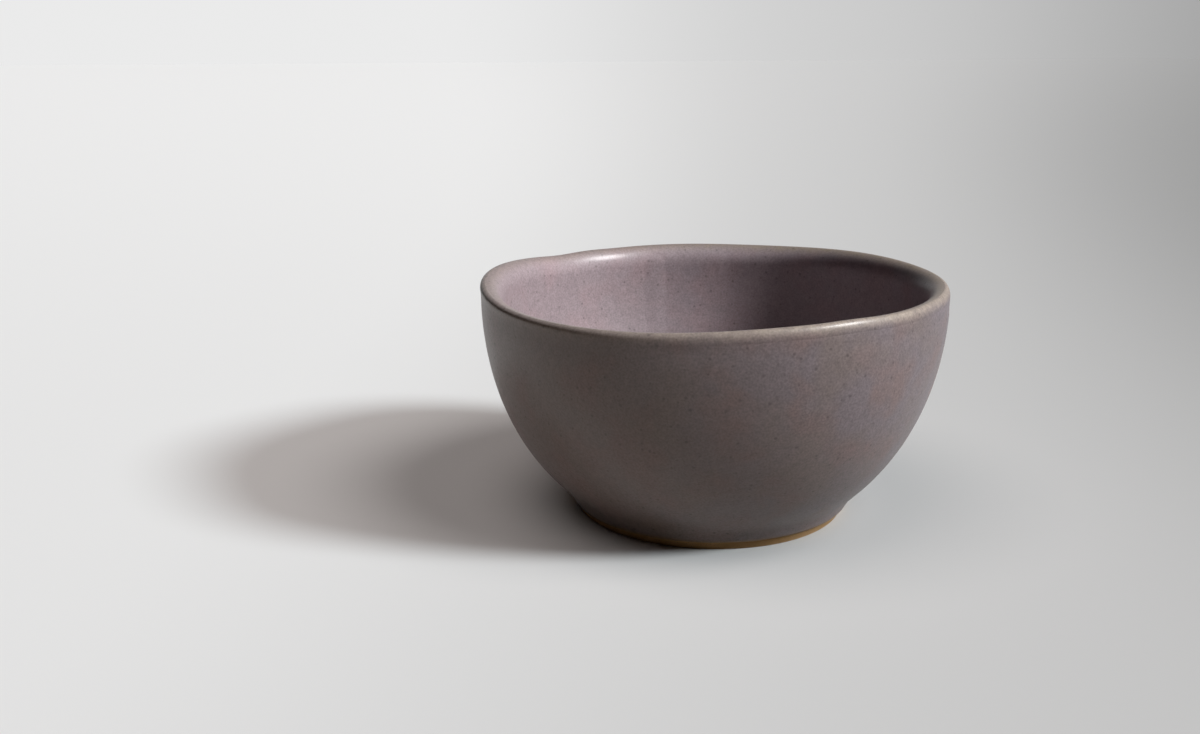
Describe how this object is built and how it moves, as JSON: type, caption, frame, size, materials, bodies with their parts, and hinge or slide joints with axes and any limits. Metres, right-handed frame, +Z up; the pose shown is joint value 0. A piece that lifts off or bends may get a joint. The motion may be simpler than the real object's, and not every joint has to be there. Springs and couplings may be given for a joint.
{
  "type": "prep bowl",
  "caption": "Deep round stoneware bowl with a softly waving rounded lip and a short tapered foot ring, glazed inside and out, for holding prepared food.",
  "frame": {"origin": "on the axis of the foot, at the level of the table it stands on", "axes": "+Z up along the bowl's axis, +X to the right and +Y away in the pictured view"},
  "size_m": [0.1402, 0.139, 0.0717],
  "materials": {
    "stoneware_clay": "bare fired stoneware, fine grit",
    "outer_coat": "satin taupe glaze with fine dark specks",
    "inner_coat": "satin lilac-grey glaze with fine dark specks"
  },
  "bodies": {
    "root": {"clay_body": "stoneware_clay", "foot_ring": "stoneware_clay", "outer_glaze": "outer_coat", "inner_glaze": "inner_coat", "base_glaze": "outer_coat"}
  },
  "joints": []
}
